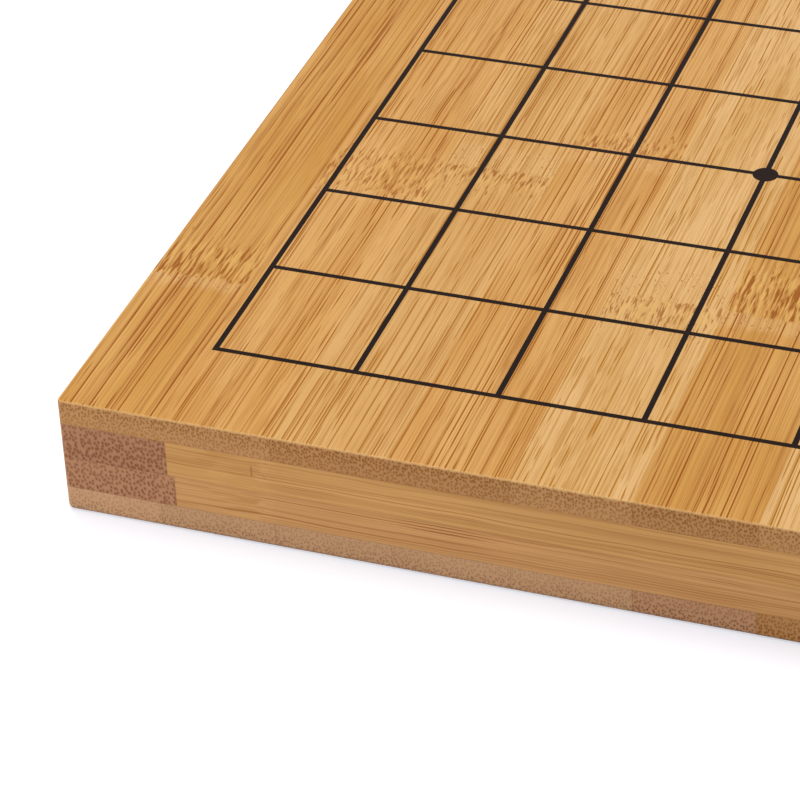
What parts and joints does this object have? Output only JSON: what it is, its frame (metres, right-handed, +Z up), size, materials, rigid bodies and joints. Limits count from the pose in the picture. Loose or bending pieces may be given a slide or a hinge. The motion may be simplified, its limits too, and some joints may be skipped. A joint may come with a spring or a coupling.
{
  "type": "go board",
  "caption": "Flat rectangular go board of glued bamboo strips on a crossed two-layer core, with sanded corners and rims and a printed square grid with star points.",
  "frame": {"origin": "middle of the underside, on the surface that the board lies on", "axes": "+X along the near side to the right, +Y away from the near side along the grain of the playing face, +Z up out of the playing face"},
  "size_m": [0.441, 0.471, 0.0203],
  "materials": {
    "ply_bamboo": "clear satin lacquer",
    "band_bamboo": "clear satin lacquer",
    "rail_bamboo": "clear satin lacquer",
    "core_bamboo": "clear satin lacquer",
    "black_ink": "printed ink under the lacquer"
  },
  "bodies": {
    "root": {"top_strip_01": "ply_bamboo", "top_strip_02": "ply_bamboo", "top_strip_03": "ply_bamboo", "top_strip_04": "ply_bamboo", "top_strip_05": "ply_bamboo", "top_strip_06": "ply_bamboo", "top_strip_07": "ply_bamboo", "top_strip_08": "ply_bamboo", "top_strip_09": "ply_bamboo", "top_strip_10": "ply_bamboo", "top_strip_11": "ply_bamboo", "top_strip_12": "ply_bamboo", "top_strip_13": "ply_bamboo", "top_strip_14": "ply_bamboo", "top_strip_15": "ply_bamboo", "top_strip_16": "ply_bamboo", "top_strip_17": "ply_bamboo", "top_strip_18": "ply_bamboo", "top_strip_19": "ply_bamboo", "top_strip_20": "ply_bamboo", "top_strip_21": "ply_bamboo", "top_strip_22": "ply_bamboo", "top_strip_23": "ply_bamboo", "top_strip_24": "ply_bamboo", "bottom_strip_01": "ply_bamboo", "bottom_strip_02": "ply_bamboo", "bottom_strip_03": "ply_bamboo", "bottom_strip_04": "ply_bamboo", "bottom_strip_05": "ply_bamboo", "bottom_strip_06": "ply_bamboo", "bottom_strip_07": "ply_bamboo", "bottom_strip_08": "ply_bamboo", "bottom_strip_09": "ply_bamboo", "bottom_strip_10": "ply_bamboo", "bottom_strip_11": "ply_bamboo", "bottom_strip_12": "ply_bamboo", "bottom_strip_13": "ply_bamboo", "bottom_strip_14": "ply_bamboo", "bottom_strip_15": "ply_bamboo", "bottom_strip_16": "ply_bamboo", "bottom_strip_17": "ply_bamboo", "bottom_strip_18": "ply_bamboo", "bottom_strip_19": "ply_bamboo", "bottom_strip_20": "ply_bamboo", "bottom_strip_21": "ply_bamboo", "bottom_strip_22": "ply_bamboo", "bottom_strip_23": "ply_bamboo", "bottom_strip_24": "ply_bamboo", "left_upper_core_band": "band_bamboo", "right_upper_core_band": "band_bamboo", "front_upper_core_rail": "rail_bamboo", "back_upper_core_rail": "rail_bamboo", "inner_upper_core_strips": "core_bamboo", "left_lower_core_band": "band_bamboo", "right_lower_core_band": "band_bamboo", "front_lower_core_rail": "rail_bamboo", "back_lower_core_rail": "rail_bamboo", "inner_lower_core_strips": "core_bamboo", "printed_grid": "black_ink"}
  },
  "joints": []
}
